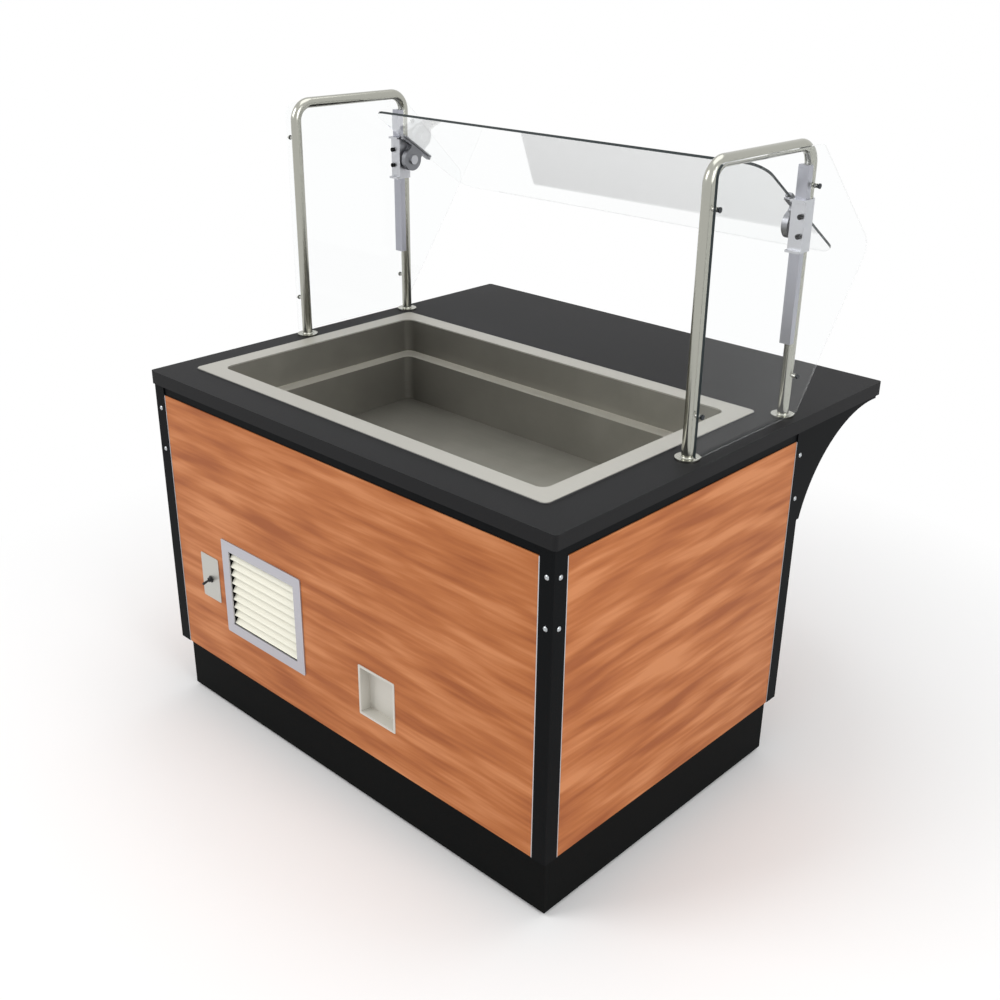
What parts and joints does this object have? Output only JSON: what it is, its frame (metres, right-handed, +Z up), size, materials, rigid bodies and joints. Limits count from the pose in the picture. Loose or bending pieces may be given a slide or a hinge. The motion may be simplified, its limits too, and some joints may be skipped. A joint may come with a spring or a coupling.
{
  "type": "mobile salad bar",
  "caption": "Refrigerated self-service counter on casters: wood-look cabinet, dark worktop with a recessed pan well and rear tray shelf, glass guard on steel hoops.",
  "frame": {"origin": "middle of the footprint's bounding box, on the floor", "axes": "+Z up, -Y out of the front face with the grille, +X to the right seen from the front; the tray shelf reaches along +Y"},
  "size_m": [1.29, 1.202, 1.4822],
  "materials": {
    "laminate": "satin woodgrain laminate",
    "black_paint": "semi-gloss black",
    "toe_board": "matte black",
    "charcoal_slab": "honed solid surface",
    "stainless": "brushed",
    "polished_stainless": "polished",
    "galvanised": "dull",
    "aluminium": "satin anodised",
    "louvre_paint": "satin cream",
    "clear_glass": "clear",
    "dark_metal": "satin",
    "black_plastic": "satin",
    "foam": "matte",
    "copper": "bright copper",
    "brass": "satin",
    "zinc": "bright zinc",
    "red_plastic": "satin",
    "grey_rubber": "matte",
    "condenser_fins": "satin"
  },
  "bodies": {
    "cabinet": {"base_frame": "black_paint", "base_deck": "galvanised", "top_frame": "black_paint", "corner_posts": "black_paint", "front_panel": "laminate", "rear_panel": "laminate", "end_panels": "laminate", "edge_trims": "aluminium", "toe_kick": "toe_board", "worktop": "charcoal_slab", "shelf_brackets": "black_paint", "post_screws": "zinc", "well_liner": "stainless", "well_foam": "foam", "well_jacket": "galvanised", "cooling_tube": "copper", "drain_fitting": "stainless", "drain_strainer": "stainless", "drain_valve": "brass", "drain_outlet": "brass", "unit_base": "dark_metal", "compressor": "black_paint", "compressor_feet": "grey_rubber", "condenser": "condenser_fins", "fan_shroud": "dark_metal", "fan_motor": "dark_metal", "suction_line": "copper", "discharge_line": "copper", "liquid_line": "copper", "grille_frame": "aluminium", "grille_louvres": "louvre_paint", "switch_plate": "stainless", "switch_body": "black_plastic", "service_recess": "stainless", "hoop_left": "polished_stainless", "hoop_right": "polished_stainless", "hoop_feet": "polished_stainless", "guide_rails": "aluminium", "end_glass": "clear_glass", "glass_standoffs": "dark_metal", "caster_plates": "zinc"},
    "fan": {"fan_blades": "aluminium"},
    "toggle": {"switch_toggle": "black_plastic"},
    "drain_handle": {"drain_lever": "red_plastic"},
    "clamp_l": {"clamp_left": "aluminium", "clamp_screws_left": "black_paint"},
    "clamp_r": {"clamp_right": "aluminium", "clamp_screws_right": "black_paint"},
    "glass": {"glass_arms": "aluminium", "front_glass": "clear_glass"},
    "caster_front_left": {"fork_front_left": "zinc"},
    "rolling_front_left": {"wheel_front_left": "grey_rubber"},
    "caster_front_right": {"fork_front_right": "zinc"},
    "rolling_front_right": {"wheel_front_right": "grey_rubber"},
    "caster_rear_left": {"fork_rear_left": "zinc"},
    "rolling_rear_left": {"wheel_rear_left": "grey_rubber"},
    "caster_rear_right": {"fork_rear_right": "zinc"},
    "rolling_rear_right": {"wheel_rear_right": "grey_rubber"},
    "pedal_front_left": {"brake_front_left": "black_paint"},
    "pedal_front_right": {"brake_front_right": "black_paint"}
  },
  "joints": [
    {"name": "fan_spin", "type": "hinge", "parent": "cabinet", "child": "fan", "pos_m": [-0.2615, -0.44771, 0.3239], "axis": [0, 1, 0], "continuous": true},
    {"name": "toggle_flip", "type": "hinge", "parent": "cabinet", "child": "toggle", "pos_m": [-0.4735, -0.57801, 0.384], "axis": [-1, 0, 0], "range_deg": [0, 26]},
    {"name": "drain_turn", "type": "hinge", "parent": "cabinet", "child": "drain_handle", "pos_m": [0.15, -0.17801, 0.5725], "axis": [0, 1, 0], "range_deg": [0, 90]},
    {"name": "glass_height", "type": "slide", "parent": "cabinet", "child": "clamp_l", "axis": [0, 0, 1], "range_m": [-0.19, 0.018]},
    {"name": "glass_height_right", "type": "slide", "parent": "cabinet", "child": "clamp_r", "axis": [0, 0, 1], "range_m": [-0.19, 0.018]},
    {"name": "glass_tilt", "type": "hinge", "parent": "clamp_l", "child": "glass", "pos_m": [-0.59, 0.22699, 1.304], "axis": [1, 0, 0], "range_deg": [-40, 30]},
    {"name": "front_left_swivel", "type": "hinge", "parent": "cabinet", "child": "caster_front_left", "pos_m": [-0.505, -0.43701, 0.13], "axis": [0, 0, 1], "continuous": true},
    {"name": "front_left_roll", "type": "hinge", "parent": "caster_front_left", "child": "rolling_front_left", "pos_m": [-0.505, -0.40201, 0.0625], "axis": [1, 0, 0], "continuous": true},
    {"name": "front_right_swivel", "type": "hinge", "parent": "cabinet", "child": "caster_front_right", "pos_m": [0.505, -0.43701, 0.13], "axis": [0, 0, 1], "continuous": true},
    {"name": "front_right_roll", "type": "hinge", "parent": "caster_front_right", "child": "rolling_front_right", "pos_m": [0.505, -0.40201, 0.0625], "axis": [1, 0, 0], "continuous": true},
    {"name": "rear_left_swivel", "type": "hinge", "parent": "cabinet", "child": "caster_rear_left", "pos_m": [-0.505, 0.13899, 0.13], "axis": [0, 0, 1], "continuous": true},
    {"name": "rear_left_roll", "type": "hinge", "parent": "caster_rear_left", "child": "rolling_rear_left", "pos_m": [-0.505, 0.17399, 0.0625], "axis": [1, 0, 0], "continuous": true},
    {"name": "rear_right_swivel", "type": "hinge", "parent": "cabinet", "child": "caster_rear_right", "pos_m": [0.505, 0.13899, 0.13], "axis": [0, 0, 1], "continuous": true},
    {"name": "rear_right_roll", "type": "hinge", "parent": "caster_rear_right", "child": "rolling_rear_right", "pos_m": [0.505, 0.17399, 0.0625], "axis": [1, 0, 0], "continuous": true},
    {"name": "front_left_brake", "type": "hinge", "parent": "caster_front_left", "child": "pedal_front_left", "pos_m": [-0.505, -0.37101, 0.1], "axis": [-1, 0, 0], "range_deg": [0, 8]},
    {"name": "front_right_brake", "type": "hinge", "parent": "caster_front_right", "child": "pedal_front_right", "pos_m": [0.505, -0.37101, 0.1], "axis": [-1, 0, 0], "range_deg": [0, 8]}
  ],
  "couplings": [
    {"joint": "glass_height_right", "follows": "glass_height", "ratio": 1}
  ]
}
